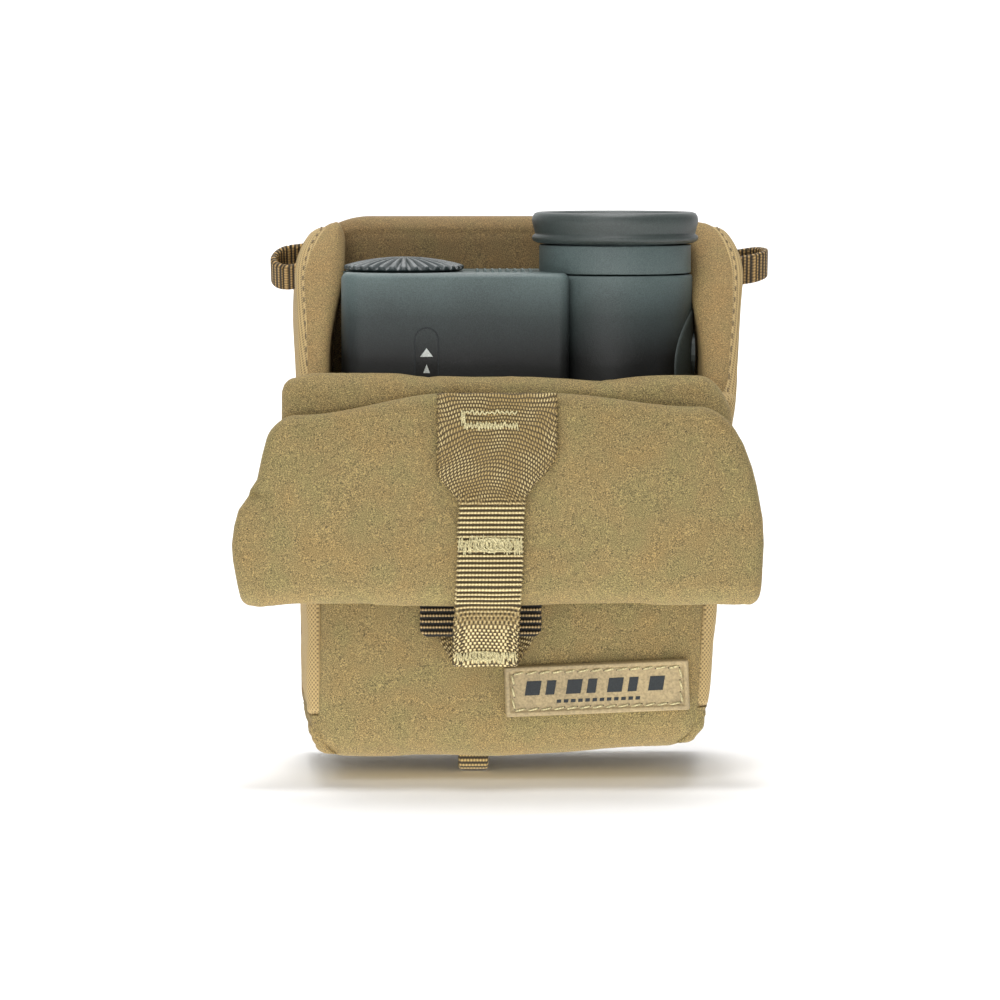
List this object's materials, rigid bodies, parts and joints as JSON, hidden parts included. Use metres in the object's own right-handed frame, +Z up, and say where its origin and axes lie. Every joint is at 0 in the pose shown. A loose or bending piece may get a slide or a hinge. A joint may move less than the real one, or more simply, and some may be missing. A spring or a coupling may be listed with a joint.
{
  "type": "harness optics pouch",
  "caption": "Padded chest-harness pouch with a forward-folding lid that holds a monocular laser rangefinder.",
  "frame": {"origin": "middle of the pouch's back face, where the pack hangs on its harness", "axes": "+Z up, +Y out of the back towards the wearer, -Y to the front, +X to the right seen from the front"},
  "size_m": [0.1123, 0.0707, 0.1193],
  "materials": {
    "shell_olive": "matt stretch soft-shell cloth, olive brown",
    "shell_tan": "matt stretch soft-shell cloth, tan",
    "lining": "smooth brushed lining",
    "foam": "closed-cell foam, light as cloth",
    "webbing": "ribbed nylon webbing",
    "label": "matt moulded rubber",
    "housing": "fine textured grey plastic",
    "soft_rubber": "soft matt rubber",
    "lens_glass": "coated optical glass",
    "steel": "plated",
    "circuit_board": "epoxy board"
  },
  "bodies": {
    "pouch": {"back_shell": "shell_olive", "back_foam": "foam", "back_lining": "lining", "front_shell": "shell_olive", "front_foam": "foam", "front_lining": "lining", "base_shell": "shell_olive", "base_foam": "foam", "base_lining": "lining", "left_wall_shell": "shell_tan", "left_wall_foam": "foam", "left_wall_lining": "lining", "right_wall_shell": "shell_tan", "right_wall_foam": "foam", "right_wall_lining": "lining", "left_rim_facing": "shell_tan", "right_rim_facing": "shell_tan", "left_tether_loop": "webbing", "right_tether_loop": "webbing", "bottom_tether_loop": "webbing", "upper_harness_webbing": "webbing", "lower_harness_webbing": "webbing", "label_patch": "label", "front_anchor_webbing": "webbing"},
    "lid_riser": {"riser_shell": "shell_olive", "riser_foam": "foam", "riser_lining": "lining", "lid_hinge_roll": "shell_olive"},
    "lid_flap": {"flap_shell": "shell_olive", "flap_foam": "foam", "flap_lining": "lining", "flap_magnet": "steel", "lid_fold_roll": "shell_olive", "lid_strap": "webbing"},
    "rangefinder": {"rangefinder_front_cover": "housing", "rangefinder_rear_cover": "housing", "rangefinder_badge_strip": "soft_rubber", "rangefinder_optics_tube": "housing", "rangefinder_objective_lens": "lens_glass", "rangefinder_laser_lens": "lens_glass", "rangefinder_battery": "steel", "rangefinder_circuit_board": "circuit_board"},
    "eyepiece": {"rangefinder_diopter_ring": "housing", "rangefinder_eyecup": "soft_rubber", "rangefinder_eyepiece_lens": "lens_glass"},
    "battery_cap": {"rangefinder_battery_cap": "housing"},
    "measure_button": {"rangefinder_measure_button": "soft_rubber"},
    "menu_button": {"rangefinder_menu_button": "soft_rubber"}
  },
  "joints": [
    {"name": "lid_hinge", "type": "hinge", "parent": "pouch", "child": "lid_riser", "pos_m": [0, -0.0555, 0.0209], "axis": [-1, 0, 0], "range_deg": [0, 186]},
    {"name": "lid_fold", "type": "hinge", "parent": "lid_riser", "child": "lid_flap", "pos_m": [0, -0.0617, -0.0171], "axis": [1, 0, 0], "range_deg": [0, 96]},
    {"name": "rangefinder_lift", "type": "slide", "parent": "pouch", "child": "rangefinder", "axis": [0, 0, 1], "range_m": [0, 0.125]},
    {"name": "eyepiece_focus", "type": "hinge", "parent": "rangefinder", "child": "eyepiece", "pos_m": [0.02185, -0.0254, 0.045], "axis": [0, 0, 1], "range_deg": [-90, 90]},
    {"name": "battery_cap_turn", "type": "hinge", "parent": "rangefinder", "child": "battery_cap", "pos_m": [-0.0232, -0.0254, 0.045], "axis": [0, 0, 1], "range_deg": [0, 90]},
    {"name": "measure_button_press", "type": "slide", "parent": "rangefinder", "child": "measure_button", "axis": [-1, 0, 0], "range_m": [0, 0.0007], "stiffness_N_per_m": 600},
    {"name": "menu_button_press", "type": "slide", "parent": "rangefinder", "child": "menu_button", "axis": [-1, 0, 0], "range_m": [0, 0.0007], "stiffness_N_per_m": 600}
  ],
  "couplings": [
    {"joint": "lid_fold", "follows": "lid_hinge", "ratio": 0.5161}
  ]
}
